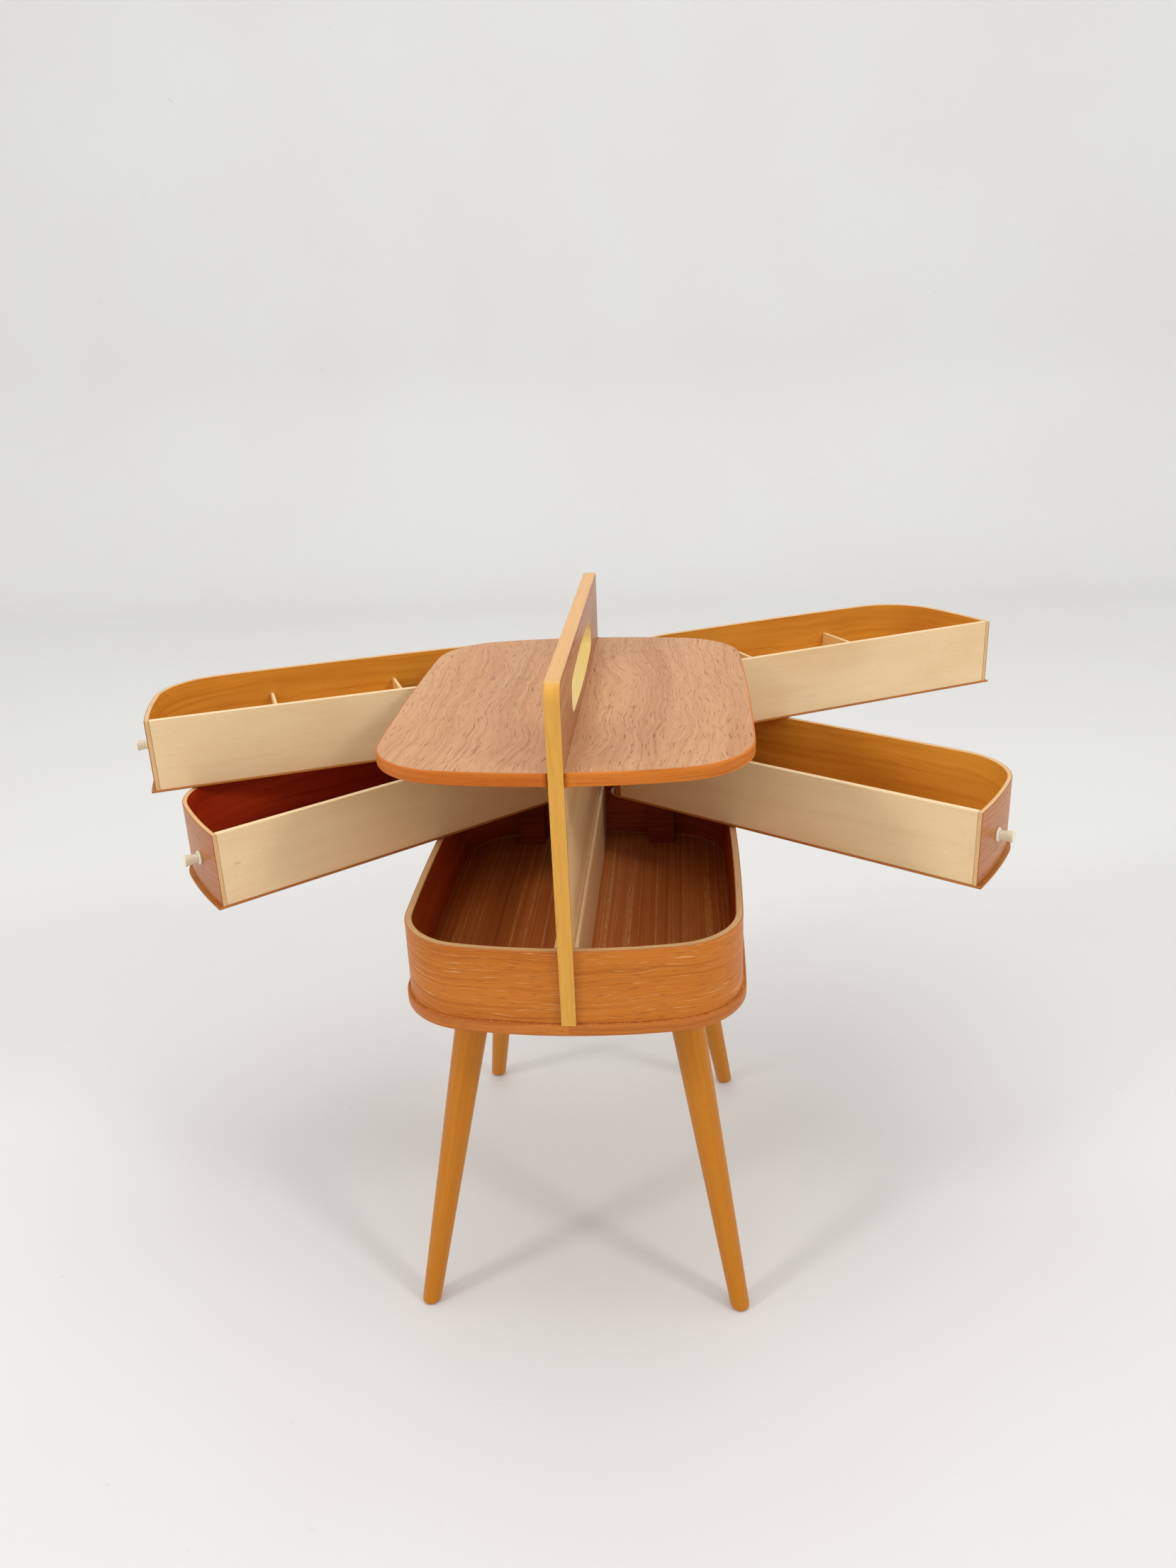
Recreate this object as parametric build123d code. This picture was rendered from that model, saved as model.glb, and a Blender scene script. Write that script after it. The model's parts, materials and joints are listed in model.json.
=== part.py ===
from build123d import *
import math
import os

# Sewing box with swinging trays. Millimetres. Origin on the floor under the middle of the box,
# +X to the right, +Y to the rear, +Z up. The trays are modelled closed and then swung open.

# ---- box outline: half width, half depth, corner radius, bow of the sides, bow of front and rear
BASE_HALF_WIDTH = 158.7
BASE_HALF_DEPTH = 217.0
BASE_CORNER = 72.0
SIDE_BOW = 4.0
END_BOW = 24.0
TOP_HALF_WIDTH = 164.3
TOP_HALF_DEPTH = 221.5
TOP_CORNER = 74.0
TRAY_HALF_WIDTH = 161.0
TRAY_HALF_DEPTH = 215.0

# ---- heights
BASE_UNDERSIDE = 327.0
BASE_THICKNESS = 11.0
RIM_HEIGHT = 70.5
TRAY_HEIGHT = 74.0
LEVEL_GAP = 1.2
TOP_THICKNESS = 12.0
HANDLE_TOP = 646.0
BASE_TOP = BASE_UNDERSIDE + BASE_THICKNESS
RIM_TOP = BASE_TOP + RIM_HEIGHT
LOWER_TRAY_Z = RIM_TOP + LEVEL_GAP
UPPER_TRAY_Z = LOWER_TRAY_Z + TRAY_HEIGHT + LEVEL_GAP
TOP_UNDERSIDE = UPPER_TRAY_Z + TRAY_HEIGHT + LEVEL_GAP

# ---- base rim and its liners
RIM_INSET = 3.3
RIM_THICKNESS = 6.6
LINER_THICKNESS = 4.0
LINER_END_GAP = 1.0

# ---- centre board, which flares a little towards the top
BOARD_THICKNESS = 13.0
BOARD_HALF = BOARD_THICKNESS / 2
BOARD_HALF_DEPTH_LOW = 217.5
BOARD_HALF_DEPTH_HIGH = 224.0
STRIP_DEPTH = 4.0
FRONT_CORNER = 16.0
REAR_CORNER = 6.0
STRIP_JOINT_SETBACK = 9.0
SLOT_HEIGHT_ABOVE_FLOOR = 602.5
SLOT_HALF_LENGTH = 120.0
SLOT_HALF_HEIGHT = 20.5
SLOT_BOW = 6.0
SLOT_CORNER = 13.0
LINING_THICKNESS = 2.0

# ---- trays
STRAIGHT_WALL_X = 9.0
STRAIGHT_WALL_THICKNESS = 6.0
BENT_WALL_THICKNESS = 4.5
TRAY_BOTTOM_THICKNESS = 2.0
BOTTOM_OVERHANG = 3.8
BOTTOM_STRAIGHT_OVERHANG = 1.0
REAR_INNER_RADIUS = 21.0
DIVIDER_THICKNESS = 4.0
DIVIDER_HEIGHT = 45.0
DIVIDER_PLACES = (131.0, 268.0)
WALL_CLEARANCE = 0.3

# ---- pivots
PIVOT_X = 75.0
PIVOT_Y = 187.0
ROD_RADIUS = 4.0
RUNNING_CLEARANCE = 0.05
ROD_EMBED = 6.0
POST_WIDTH = 30.0
POST_DEPTH = 22.0
POST_Y = PIVOT_Y - 2.0
WASHER_RADIUS = 10.0
WASHER_CLEARANCE = 0.3

# ---- knobs
KNOB_FROM_WALL = 48.0
KNOB_HEIGHT = 36.0
ROSETTE_RADIUS = 6.8
ROSETTE_THICKNESS = 2.5
KNOB_NECK_RADIUS = 4.3
KNOB_END_RADIUS = 5.8
KNOB_LENGTH = 13.0
KNOB_SCREW_RADIUS = 1.75
KNOB_SCREW_HEAD_RADIUS = 3.75
KNOB_SCREW_HEAD = 2.0
KNOB_SCREW_GRIP = 8.0
KNOB_SCREW_SEAT = 4.9

# ---- legs, which are set symmetrically but don't all splay alike
LEG_TOP_X = 95.0
LEG_TOP_Y = 117.0
LEG_FEET = {
    "front_left": (-155.0, -184.0),
    "front_right": (151.0, -184.0),
    "rear_left": (-142.0, 207.0),
    "rear_right": (149.0, 195.0),
}
LEG_TOP_RADIUS = 17.0
LEG_FOOT_RADIUS = 9.0
LEG_SPARE = 20.0
FOOT_ROUNDING = 4.5
PLATE_SIDE = 48.0
PLATE_THICKNESS = 2.0
PLATE_HOLE_OFFSET = 18.0
STUD_RADIUS = 4.0
STUD_LENGTH = 30.0
SCREW_RADIUS = 1.75
SCREW_HEAD_RADIUS = 3.5
SCREW_HEAD = 1.6
PLATE_SCREW_LENGTH = 8.0
BASE_SCREW_LENGTH = 30.0
BASE_SCREW_PLACES = (-150.0, 0.0, 150.0)
DOWEL_RADIUS = 3.0
DOWEL_HALF_LENGTH = 26.0
DOWEL_PLACES = (-140.0, 0.0, 140.0)

# ---- how far each tray stands open, in degrees from closed
OPEN_ANGLES = {
    ("left", "upper"): 67.6,
    ("left", "lower"): 47.3,
    ("right", "upper"): 117.2,
    ("right", "lower"): 55.0,
}
SIDES = {"left": -1, "right": 1}
TRAY_Z = {"lower": LOWER_TRAY_Z, "upper": UPPER_TRAY_Z}
LARGE = 1000.0


def bowed_outline(half_width, half_depth, corner):
    """A rounded rectangle whose four sides bow outwards."""
    x = half_width - SIDE_BOW
    y = half_depth - END_BOW
    edges = [
        ThreePointArc((-x, -y), (0, -half_depth), (x, -y)),
        ThreePointArc((x, -y), (half_width, 0), (x, y)),
        ThreePointArc((x, y), (0, half_depth), (-x, y)),
        ThreePointArc((-x, y), (-half_width, 0), (-x, -y)),
    ]
    face = make_face(edges)
    return fillet(face.vertices(), corner)


def right_of(x):
    """A large rectangle that covers everything right of x."""
    return Pos(x + LARGE / 2, 0) * Rectangle(LARGE, LARGE)


def right_half(half_width, half_depth, corner, x):
    return bowed_outline(half_width, half_depth, corner) & right_of(x)


def raised(sketch, z, height):
    return extrude(Pos(0, 0, z) * sketch, height)


def sided(shape, side):
    """The shape as modelled on the right, or mirrored to the left."""
    return shape if side == "right" else mirror(shape, Plane.YZ)


def upright(radius, x, y, z, height):
    return Pos(x, y, z + height / 2) * Cylinder(radius, height)


def base_board():
    board = raised(bowed_outline(BASE_HALF_WIDTH, BASE_HALF_DEPTH, BASE_CORNER),
                   BASE_UNDERSIDE, BASE_THICKNESS)
    for y in BASE_SCREW_PLACES:
        board -= upright(SCREW_RADIUS, 0, y, BASE_UNDERSIDE, BASE_THICKNESS)
    for x, y in leg_plate_hole_places():
        board -= upright(SCREW_RADIUS, x, y, BASE_UNDERSIDE, PLATE_SCREW_LENGTH)
    return board


def base_rim():
    outer = right_half(BASE_HALF_WIDTH - RIM_INSET, BASE_HALF_DEPTH - RIM_INSET,
                       BASE_CORNER - RIM_INSET, BOARD_HALF)
    inset = RIM_INSET + RIM_THICKNESS
    inner = right_half(BASE_HALF_WIDTH - inset, BASE_HALF_DEPTH - inset,
                       BASE_CORNER - inset, BOARD_HALF)
    return raised(outer - inner, BASE_TOP, RIM_HEIGHT)


def base_liner():
    half_length = BASE_HALF_DEPTH - RIM_INSET - RIM_THICKNESS - LINER_END_GAP
    strip = Pos(BOARD_HALF + LINER_THICKNESS / 2, 0) * Rectangle(LINER_THICKNESS, 2 * half_length)
    return raised(strip, BASE_TOP, RIM_HEIGHT)


def board_outline(inset):
    """The centre board's side view in the YZ plane, shrunk by inset at front, rear and top."""
    low = BOARD_HALF_DEPTH_LOW - inset
    high = BOARD_HALF_DEPTH_HIGH - inset
    top = HANDLE_TOP - inset
    face = make_face(Polyline((-low, BASE_TOP), (-high, top), (high, top), (low, BASE_TOP), close=True))
    front = [v for v in face.vertices() if v.Y > BASE_TOP + 1 and v.X < 0]
    face = fillet(front, FRONT_CORNER - inset)
    rear = [v for v in face.vertices() if v.Y > top - 1 and v.X > high - 1]
    return fillet(rear, REAR_CORNER - inset)


def slot_outline(grow):
    """The hand slot in the YZ plane: long, rounded, slightly bowed above and below."""
    half_length = SLOT_HALF_LENGTH + grow
    half_height = SLOT_HALF_HEIGHT + grow
    end = half_height - SLOT_BOW
    edges = [
        ThreePointArc((-half_length, -end), (0, -half_height), (half_length, -end)),
        Line((half_length, -end), (half_length, end)),
        ThreePointArc((half_length, end), (0, half_height), (-half_length, end)),
        Line((-half_length, end), (-half_length, -end)),
    ]
    face = make_face(edges)
    return Pos(0, SLOT_HEIGHT_ABOVE_FLOOR) * fillet(face.vertices(), SLOT_CORNER + grow)


def across_board(sketch):
    """Extrude a YZ side view through the centre board's thickness."""
    return extrude(Plane.YZ.offset(-BOARD_HALF) * sketch, BOARD_THICKNESS)


def board_ring():
    return across_board(board_outline(0) - board_outline(STRIP_DEPTH))


def top_strip_span():
    """The space that the top strip fills: it butts against the front and rear strips."""
    half_length = BOARD_HALF_DEPTH_HIGH - STRIP_JOINT_SETBACK
    low = HANDLE_TOP - FRONT_CORNER
    return Pos(0, 0, low + LARGE / 2) * Box(LARGE, 2 * half_length, LARGE)


def edge_strip(side):
    """Front (-1) or rear (+1) strip, up to its joint with the top strip."""
    keep = Pos(0, side * LARGE / 2, 0) * Box(LARGE, LARGE, 2 * LARGE)
    return (board_ring() & keep) - top_strip_span()


def top_edge_strip():
    return board_ring() & top_strip_span()


def centre_board():
    board = across_board(board_outline(STRIP_DEPTH) - slot_outline(0))
    for y in DOWEL_PLACES:
        board -= dowel(y)
    for y in BASE_SCREW_PLACES:
        board -= upright(SCREW_RADIUS, 0, y, BASE_TOP, BASE_SCREW_LENGTH - BASE_THICKNESS)
    return board


def handle_slot_lining():
    return across_board(slot_outline(0) - slot_outline(-LINING_THICKNESS))


def dowel(y):
    z = TOP_UNDERSIDE + TOP_THICKNESS / 2
    return Pos(0, y, z) * Rot(0, 90, 0) * Cylinder(DOWEL_RADIUS, 2 * DOWEL_HALF_LENGTH)


def top_board():
    outline = right_half(TOP_HALF_WIDTH, TOP_HALF_DEPTH, TOP_CORNER, BOARD_HALF)
    board = raised(outline, TOP_UNDERSIDE, TOP_THICKNESS)
    for y in DOWEL_PLACES:
        board -= dowel(y)
    return board - upright(ROD_RADIUS, PIVOT_X, PIVOT_Y, TOP_UNDERSIDE, ROD_EMBED)


def pivot_post():
    post = Pos(PIVOT_X, POST_Y, BASE_TOP + RIM_HEIGHT / 2) * Box(POST_WIDTH, POST_DEPTH, RIM_HEIGHT)
    return post - upright(ROD_RADIUS, PIVOT_X, PIVOT_Y, BASE_TOP, RIM_HEIGHT)


def pivot_rod():
    return upright(ROD_RADIUS, PIVOT_X, PIVOT_Y, BASE_TOP, TOP_UNDERSIDE + ROD_EMBED - BASE_TOP)


def pivot_washers():
    """One washer at each level gap, on both rods."""
    thickness = LEVEL_GAP - 2 * WASHER_CLEARANCE
    rings = []
    for side in SIDES.values():
        for level in (RIM_TOP, UPPER_TRAY_Z - LEVEL_GAP, TOP_UNDERSIDE - LEVEL_GAP):
            z = level + WASHER_CLEARANCE
            ring = upright(WASHER_RADIUS, side * PIVOT_X, PIVOT_Y, z, thickness)
            rings.append(ring - upright(ROD_RADIUS, side * PIVOT_X, PIVOT_Y, z, thickness))
    return Compound(children=rings)


# ---- legs and their hardware
def leg_top(name):
    """Where a leg's axis meets the base board's underside."""
    foot_x, foot_y = LEG_FEET[name]
    return (math.copysign(LEG_TOP_X, foot_x), math.copysign(LEG_TOP_Y, foot_y))


def leg_plate_hole_places():
    offset = PLATE_HOLE_OFFSET
    return [
        (x + dx, y + dy)
        for x, y in map(leg_top, LEG_FEET)
        for dx in (-offset, offset)
        for dy in (-offset, offset)
    ]


def leg_axis_plane(name):
    """A plane at the leg's top centre whose Z runs down the leg."""
    top, foot = leg_top(name), LEG_FEET[name]
    direction = (foot[0] - top[0], foot[1] - top[1], -BASE_UNDERSIDE)
    return Plane(origin=(*top, BASE_UNDERSIDE), z_dir=direction)


def below_plates():
    top = BASE_UNDERSIDE - PLATE_THICKNESS
    return Pos(0, 0, top / 2) * Box(LARGE, LARGE, top)


def leg(name):
    """A splayed tapered round leg, cut level at the plate and at the floor."""
    run = math.dist((*leg_top(name), BASE_UNDERSIDE), (*LEG_FEET[name], 0))
    spread = LEG_SPARE * (LEG_TOP_RADIUS - LEG_FOOT_RADIUS) / run
    cone = Cone(LEG_TOP_RADIUS + spread, LEG_FOOT_RADIUS - spread, run + 2 * LEG_SPARE,
                align=(Align.CENTER, Align.CENTER, Align.MIN))
    body = leg_axis_plane(name) * Pos(0, 0, -LEG_SPARE) * cone
    body &= below_plates()
    bottom_edges = [e for e in body.edges() if e.center().Z < 1.0]
    body = fillet(bottom_edges, FOOT_ROUNDING)
    return body - leg_stud(name)


def leg_stud(name):
    stud = Cylinder(STUD_RADIUS, STUD_LENGTH, align=(Align.CENTER, Align.CENTER, Align.MIN))
    return leg_axis_plane(name) * stud & below_plates()


def leg_studs():
    return Compound(children=[leg_stud(name) for name in LEG_FEET])


def leg_plates():
    plates = []
    z = BASE_UNDERSIDE - PLATE_THICKNESS
    for top_x, top_y in map(leg_top, LEG_FEET):
        plate = Pos(top_x, top_y, z + PLATE_THICKNESS / 2) * Box(
            PLATE_SIDE, PLATE_SIDE, PLATE_THICKNESS)
        for x, y in leg_plate_hole_places():
            plate -= upright(SCREW_RADIUS, x, y, z, PLATE_THICKNESS)
        plates.append(plate)
    return Compound(children=plates)


def screw(x, y, z, length):
    """A screw driven upwards, its head below z."""
    shank = upright(SCREW_RADIUS, x, y, z, length)
    return shank + upright(SCREW_HEAD_RADIUS, x, y, z - SCREW_HEAD, SCREW_HEAD)


def leg_plate_screws():
    z = BASE_UNDERSIDE - PLATE_THICKNESS
    length = PLATE_SCREW_LENGTH + PLATE_THICKNESS
    return Compound(children=[screw(x, y, z, length) for x, y in leg_plate_hole_places()])


def base_screws():
    return Compound(children=[screw(0, y, BASE_UNDERSIDE, BASE_SCREW_LENGTH)
                              for y in BASE_SCREW_PLACES])


def top_dowels():
    return Compound(children=[dowel(y) for y in DOWEL_PLACES])


# ---- trays, all modelled closed on the right, with their underside at z = 0
def tray_outline(grow, x):
    """The D-shaped outline right of x, with the rear inner corner rounded to clear the board."""
    face = right_half(TRAY_HALF_WIDTH + grow, TRAY_HALF_DEPTH + grow, BASE_CORNER + grow, x)
    rear = [v for v in face.vertices() if v.X < x + 1 and v.Y > 0]
    return fillet(rear, REAR_INNER_RADIUS)


def tray_cavity():
    """The space inside the bent wall, before the straight wall is fitted."""
    inset = BENT_WALL_THICKNESS
    x = STRAIGHT_WALL_X + inset
    face = right_half(TRAY_HALF_WIDTH - inset, TRAY_HALF_DEPTH - inset, BASE_CORNER - inset, x)
    rear = [v for v in face.vertices() if v.X < x + 1 and v.Y > 0]
    return fillet(rear, REAR_INNER_RADIUS - inset)


def straight_wall_sketch():
    front = -TRAY_HALF_DEPTH + BENT_WALL_THICKNESS + WALL_CLEARANCE
    rear = TRAY_HALF_DEPTH - REAR_INNER_RADIUS
    centre = (STRAIGHT_WALL_X + STRAIGHT_WALL_THICKNESS / 2, (front + rear) / 2)
    return Pos(*centre) * Rectangle(STRAIGHT_WALL_THICKNESS, rear - front)


def tray_wall_height():
    return TRAY_HEIGHT - TRAY_BOTTOM_THICKNESS


def knob_frame():
    """A plane on the bent wall's front face whose Z points out of the tray."""
    x = STRAIGHT_WALL_X + KNOB_FROM_WALL
    chord_x = TRAY_HALF_WIDTH - SIDE_BOW
    radius = (chord_x ** 2 + END_BOW ** 2) / (2 * END_BOW)
    y = -TRAY_HALF_DEPTH + radius - math.sqrt(radius ** 2 - x ** 2)
    normal = (x, y - (radius - TRAY_HALF_DEPTH), 0)
    return Plane(origin=(x, y, KNOB_HEIGHT), x_dir=(0, 0, 1), z_dir=normal)


def outward(shape):
    return knob_frame() * shape


def disc(radius, z, height):
    return Pos(0, 0, z + height / 2) * Cylinder(radius, height)


def tray_outer_wall():
    ring = tray_outline(0, STRAIGHT_WALL_X) - tray_cavity()
    ring -= straight_wall_sketch()
    wall = raised(ring, TRAY_BOTTOM_THICKNESS, tray_wall_height())
    return wall - outward(disc(KNOB_SCREW_RADIUS, -2 * BENT_WALL_THICKNESS, 4 * BENT_WALL_THICKNESS))


def tray_inner_wall():
    return raised(straight_wall_sketch(), TRAY_BOTTOM_THICKNESS, tray_wall_height())


def tray_bottom():
    outline = tray_outline(BOTTOM_OVERHANG, STRAIGHT_WALL_X - BOTTOM_STRAIGHT_OVERHANG)
    plate = raised(outline, 0, TRAY_BOTTOM_THICKNESS)
    return plate - running_bore(0, TRAY_BOTTOM_THICKNESS)


def running_bore(z, height):
    return upright(ROD_RADIUS + RUNNING_CLEARANCE, PIVOT_X, PIVOT_Y, z, height)


def tray_pivot_block():
    height = tray_wall_height()
    z = TRAY_BOTTOM_THICKNESS
    block = Pos(PIVOT_X, POST_Y, z + height / 2) * Box(POST_WIDTH, POST_DEPTH, height)
    return block - running_bore(z, height)


def tray_divider(distance):
    """A low partition across the tray, fitted between the two walls."""
    y = -TRAY_HALF_DEPTH + distance
    slab = Pos(0, y) * Rectangle(LARGE, DIVIDER_THICKNESS)
    room = tray_cavity() & right_of(STRAIGHT_WALL_X + STRAIGHT_WALL_THICKNESS)
    return raised(room & slab, TRAY_BOTTOM_THICKNESS, DIVIDER_HEIGHT)


def knob_rosette():
    ring = disc(ROSETTE_RADIUS, 0, ROSETTE_THICKNESS)
    return outward(ring - disc(KNOB_SCREW_RADIUS, 0, ROSETTE_THICKNESS))


def knob():
    """A trumpet-shaped pull, narrow at the rosette and wide at its end."""
    stem = Pos(0, 0, ROSETTE_THICKNESS + KNOB_LENGTH / 2) * Cone(
        KNOB_NECK_RADIUS, KNOB_END_RADIUS, KNOB_LENGTH)
    depth = KNOB_SCREW_GRIP
    return outward(stem - disc(KNOB_SCREW_RADIUS, ROSETTE_THICKNESS, depth))


def knob_screw():
    start = -KNOB_SCREW_SEAT
    length = KNOB_SCREW_SEAT + ROSETTE_THICKNESS + KNOB_SCREW_GRIP
    head = disc(KNOB_SCREW_HEAD_RADIUS, start - KNOB_SCREW_HEAD, KNOB_SCREW_HEAD)
    return outward(disc(KNOB_SCREW_RADIUS, start, length) + head)


def tray_pieces(level):
    pieces = {
        "outer_wall": tray_outer_wall(),
        "inner_wall": tray_inner_wall(),
        "bottom": tray_bottom(),
        "pivot_block": tray_pivot_block(),
        "knob": knob(),
        "knob_rosette": knob_rosette(),
        "knob_screw": knob_screw(),
    }
    if level == "upper":
        for name, distance in zip(("front", "rear"), DIVIDER_PLACES):
            pieces["divider_" + name] = tray_divider(distance)
    return pieces


def swung_open(shape, side, level):
    """Lift a closed right-hand tray piece to its level, mirror it if need be, and swing it."""
    sign = SIDES[side]
    placed = sided(Pos(0, 0, TRAY_Z[level]) * shape, side)
    angle = sign * OPEN_ANGLES[(side, level)]
    pivot = Pos(sign * PIVOT_X, PIVOT_Y, 0)
    return pivot * Rot(0, 0, angle) * Pos(-sign * PIVOT_X, -PIVOT_Y, 0) * placed


def collect_nodes():
    nodes = {
        "base_board": base_board(),
        "centre_board": centre_board(),
        "front_edge_strip": edge_strip(-1),
        "rear_edge_strip": edge_strip(1),
        "top_edge_strip": top_edge_strip(),
        "handle_slot_lining": handle_slot_lining(),
        "pivot_washers": pivot_washers(),
        "leg_plates": leg_plates(),
        "leg_studs": leg_studs(),
        "leg_plate_screws": leg_plate_screws(),
        "base_screws": base_screws(),
        "top_dowels": top_dowels(),
    }
    for side in SIDES:
        nodes["base_rim_" + side] = sided(base_rim(), side)
        nodes["base_liner_" + side] = sided(base_liner(), side)
        nodes["top_board_" + side] = sided(top_board(), side)
        nodes["pivot_post_" + side] = sided(pivot_post(), side)
        nodes["pivot_rod_" + side] = sided(pivot_rod(), side)
    for name in LEG_FEET:
        nodes["leg_" + name] = leg(name)
    for side, level in OPEN_ANGLES:
        for name, shape in tray_pieces(level).items():
            nodes[f"tray_{side}_{level}_{name}"] = swung_open(shape, side, level)
    return nodes


os.makedirs("parts", exist_ok=True)
for node, shape in collect_nodes().items():
    export_step(shape, f"parts/{node}.step")
    print(node, len(shape.solids()))
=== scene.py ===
import json
import math

import bmesh
import bpy
from mathutils import Matrix, Vector

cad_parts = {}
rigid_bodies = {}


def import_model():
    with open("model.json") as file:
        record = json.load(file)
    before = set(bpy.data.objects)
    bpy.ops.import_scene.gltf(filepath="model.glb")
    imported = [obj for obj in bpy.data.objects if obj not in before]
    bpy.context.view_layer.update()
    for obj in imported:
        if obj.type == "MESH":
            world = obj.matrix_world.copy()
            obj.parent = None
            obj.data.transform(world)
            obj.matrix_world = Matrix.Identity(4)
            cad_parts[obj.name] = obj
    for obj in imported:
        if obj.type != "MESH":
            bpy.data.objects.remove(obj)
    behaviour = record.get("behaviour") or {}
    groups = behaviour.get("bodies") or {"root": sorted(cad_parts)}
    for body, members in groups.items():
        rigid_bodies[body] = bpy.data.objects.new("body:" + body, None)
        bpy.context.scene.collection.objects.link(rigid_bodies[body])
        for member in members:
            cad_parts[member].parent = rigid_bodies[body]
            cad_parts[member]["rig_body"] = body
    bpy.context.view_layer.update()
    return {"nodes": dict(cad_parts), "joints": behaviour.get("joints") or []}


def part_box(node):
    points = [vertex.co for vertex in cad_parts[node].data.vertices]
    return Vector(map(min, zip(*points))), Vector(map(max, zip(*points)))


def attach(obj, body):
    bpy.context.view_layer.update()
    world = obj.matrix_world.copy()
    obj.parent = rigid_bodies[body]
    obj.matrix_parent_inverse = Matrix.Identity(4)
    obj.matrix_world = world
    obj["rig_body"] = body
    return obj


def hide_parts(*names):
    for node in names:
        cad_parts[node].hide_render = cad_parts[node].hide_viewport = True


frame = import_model()

# Metres, in the CAD frame: +X right, +Y rear, +Z up, floor at z = 0.
MM = 0.001
NEAR = 0.1 * MM

# ------------------------------------------------------------------ sizes
SIDES = {"left": -1, "right": 1}
LEVELS = ("lower", "upper")
SIDE_BOW = 4.0 * MM
END_BOW = 24.0 * MM
BASE_CORNER = 72.0 * MM
TOP_CORNER = 74.0 * MM
TOP_HALF_DEPTH = 221.5 * MM
RIM_INSET = 3.3 * MM
RIM_THICKNESS = 6.6 * MM
RIM_VENEER = 0.8 * MM

TRAY_HALF_WIDTH = 161.0 * MM
TRAY_HALF_DEPTH = 215.0 * MM
STRAIGHT_WALL_X = 9.0 * MM
STRAIGHT_WALL = 6.0 * MM
BENT_WALL = 4.5 * MM
WALL_VENEER = 0.7 * MM
BOTTOM_OVERHANG = 3.8 * MM
BOTTOM_STRAIGHT_OVERHANG = 1.0 * MM
REAR_INNER_RADIUS = 21.0 * MM
WALL_CLEARANCE = 0.3 * MM
DIVIDER = 4.0 * MM
DIVIDER_HEIGHT = 45.0 * MM
DIVIDER_PLACES = {"front": 131.0 * MM, "rear": 268.0 * MM}

# Half depths, at the base and at the top of the handle.
BOARD_LOW_DEPTH = 217.5 * MM
BOARD_HIGH_DEPTH = 224.0 * MM
STRIP_DEPTH = 4.0 * MM
STRIP_JOINT_SETBACK = 9.0 * MM
FRONT_CORNER = 16.0 * MM
REAR_CORNER = 6.0 * MM
SLOT_BOW = 6.0 * MM
SLOT_CORNER = 13.0 * MM
LINING = 2.0 * MM
LINING_SOFT = 0.7 * MM
STRIP_SOFT = 0.9 * MM

KNOB_FROM_WALL = 48.0 * MM
KNOB_HEIGHT = 36.0 * MM
ROSETTE_RADIUS = 6.8 * MM
ROSETTE = 2.5 * MM
ROSETTE_STEP = 0.4 * MM
ROSETTE_STEP_RADII = (5.2 * MM, 4.9 * MM)
ROSETTE_SOFT = 0.8 * MM
KNOB_NECK = 4.3 * MM
KNOB_END = 5.8 * MM
KNOB_LENGTH = 13.0 * MM
KNOB_DISH = 0.3 * MM
KNOB_SOFT = 0.7 * MM
KNOB_FLARE = 1.6

LEG_TOP = (95.0 * MM, 117.0 * MM)
LEG_FEET = {
    "front_left": (-155.0 * MM, -184.0 * MM),
    "front_right": (151.0 * MM, -184.0 * MM),
    "rear_left": (-142.0 * MM, 207.0 * MM),
    "rear_right": (149.0 * MM, 195.0 * MM),
}
LEG_TOP_RADIUS = 17.0 * MM
LEG_FOOT_RADIUS = 9.0 * MM
FOOT_ROUNDING = 4.5 * MM

# How far edges are softened.
SOFT = 0.6 * MM
BASE_SOFT = 1.8 * MM
TOP_SOFT = 1.6 * MM
RIM_SOFT = 0.9 * MM
BOTTOM_SOFT = 0.5 * MM
THIN_SOFT = 0.3 * MM
STRAIGHT_WALL_SOFT = 0.4 * MM
CUT_EDGE_SHARE = 0.15

# How finely curves are divided.
END_STEPS = 16
SIDE_STEPS = 24
FILLET_STEPS = 14
SOFT_STEPS = 3
PLATE_STEPS = 4
PROFILE_STEPS = 5
PULL_STEPS = 12
LATHE_SPOKES = 40
LEG_SPOKES = 48
LEG_RINGS = 12
BOARD_CORNER_STEPS = 12
SLOT_CORNER_STEPS = 8
SLOT_BOW_STEPS = 12

# ------------------------------------------------------------------ places read from the frame
BASE_LOW, BASE_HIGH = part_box("base_board")
TOP_LOW, TOP_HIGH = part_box("top_board_right")
BOARD_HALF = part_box("centre_board")[1].x
HANDLE_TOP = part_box("top_edge_strip")[1].z
JOINTS = {joint["child"]: joint for joint in frame["joints"]}


# ------------------------------------------------------------------ outlines
def arc(centre, radius, start, end, count):
    """Points on a circle from one angle to another."""
    return [
        (
            centre[0] + radius * math.cos(start + (end - start) * i / count),
            centre[1] + radius * math.sin(start + (end - start) * i / count),
        )
        for i in range(count + 1)
    ]


def bow_radius(half_chord, bow):
    """The radius of an arc that rises by bow over a chord."""
    return (half_chord**2 + bow**2) / (2 * bow)


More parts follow.
